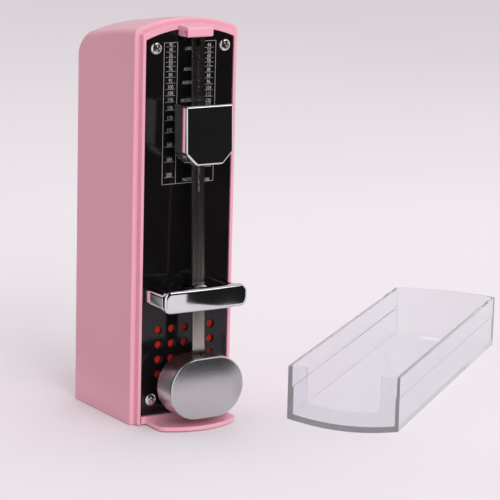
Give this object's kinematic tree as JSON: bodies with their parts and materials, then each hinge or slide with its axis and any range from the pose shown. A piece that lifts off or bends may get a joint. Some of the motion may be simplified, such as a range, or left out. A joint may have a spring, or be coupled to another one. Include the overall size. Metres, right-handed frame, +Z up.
{
  "type": "metronome",
  "caption": "Small wind-up metronome: arched case, open-front pendulum with sliding tempo weight, spring movement, winding key and a clear cover lying beside it.",
  "frame": {"origin": "centre of the rubber base pad's underside, on the surface the metronome stands on", "axes": "+Z up; -Y out of the open front with the pendulum; +X to the right seen from the front; the pendulum and every arbor turn about axes along Y"},
  "size_m": [0.2045, 0.1298, 0.1604],
  "materials": {
    "case_plastic": "satin",
    "dial_black": "gloss",
    "screen_red": "matte",
    "screw_nickel": "polished",
    "steel": "satin",
    "spring_steel": "satin",
    "chrome_trim": "polished",
    "weight_silver": "satin",
    "brass": "satin",
    "pad_rubber": "matte",
    "cover_clear": "gloss"
  },
  "bodies": {
    "case": {"case_shell": "case_plastic", "base_plate": "case_plastic", "foot_pad": "pad_rubber", "front_panel": "dial_black", "sound_screen": "screen_red", "panel_screw_1": "screw_nickel", "panel_screw_2": "screw_nickel", "panel_screw_3": "screw_nickel", "panel_screw_4": "screw_nickel", "base_screw_1": "steel", "base_screw_2": "steel", "base_screw_3": "steel", "base_screw_4": "steel", "pivot_bridge": "chrome_trim", "bridge_screw_1": "steel", "bridge_screw_2": "steel", "front_plate": "brass", "back_plate": "brass", "pillar_1": "brass", "pillar_2": "brass", "pillar_3": "brass", "pillar_4": "brass", "plate_screw_1": "steel", "plate_screw_2": "steel", "plate_screw_3": "steel", "plate_screw_4": "steel", "movement_screw_1": "steel", "movement_screw_2": "steel", "click_post": "steel", "click_spring": "spring_steel"},
    "pendulum": {"pendulum_rod": "steel", "pendulum_hub": "brass", "pendulum_arbor": "steel", "pallet_cam": "steel", "lower_weight": "weight_silver", "weight_rivet": "brass"},
    "tempo_weight": {"tempo_weight_shell": "chrome_trim", "tempo_weight_back": "steel", "tempo_weight_spring": "spring_steel", "tempo_weight_screw_1": "steel", "tempo_weight_screw_2": "steel"},
    "winding": {"winding_arbor": "steel", "ratchet_wheel": "steel", "winding_key": "chrome_trim"},
    "barrel": {"barrel_drum": "brass", "barrel_cover": "brass", "mainspring": "spring_steel"},
    "middle": {"middle_wheel": "brass", "middle_arbor": "steel"},
    "escape": {"escape_wheel": "brass", "escape_arbor": "steel"},
    "click_pawl": {"click": "steel"},
    "cover": {"clear_cover": "cover_clear"}
  },
  "joints": [
    {"name": "pendulum_swing", "type": "hinge", "parent": "case", "child": "pendulum", "pos_m": [0, -0.03475, 0.0525], "axis": [0, 1, 0], "range_deg": [-25, 25]},
    {"name": "tempo_slide", "type": "slide", "parent": "pendulum", "child": "tempo_weight", "axis": [0, 0.0365, 0.9993], "range_m": [-0.031, 0.018]},
    {"name": "key_turn", "type": "hinge", "parent": "case", "child": "winding", "pos_m": [0, 0.01, 0.0972], "axis": [0, 1, 0], "continuous": true},
    {"name": "barrel_turn", "type": "hinge", "parent": "case", "child": "barrel", "pos_m": [0, 0, 0.0972], "axis": [0, 1, 0], "continuous": true},
    {"name": "middle_turn", "type": "hinge", "parent": "case", "child": "middle", "pos_m": [0, 0, 0.0792], "axis": [0, 1, 0], "continuous": true},
    {"name": "escape_turn", "type": "hinge", "parent": "case", "child": "escape", "pos_m": [0, 0, 0.0648], "axis": [0, 1, 0], "continuous": true},
    {"name": "click_lift", "type": "hinge", "parent": "case", "child": "click_pawl", "pos_m": [-0.0096, 0.0102, 0.0926], "axis": [0, -1, 0], "range_deg": [0, 14], "stiffness_Nm_per_rad": 0.002},
    {"name": "cover_lift", "type": "slide", "parent": "case", "child": "cover", "axis": [0, 0, 1], "range_m": [0, 0.15]}
  ],
  "couplings": [
    {"joint": "middle_turn", "follows": "barrel_turn", "ratio": -5},
    {"joint": "escape_turn", "follows": "barrel_turn", "ratio": 25}
  ]
}
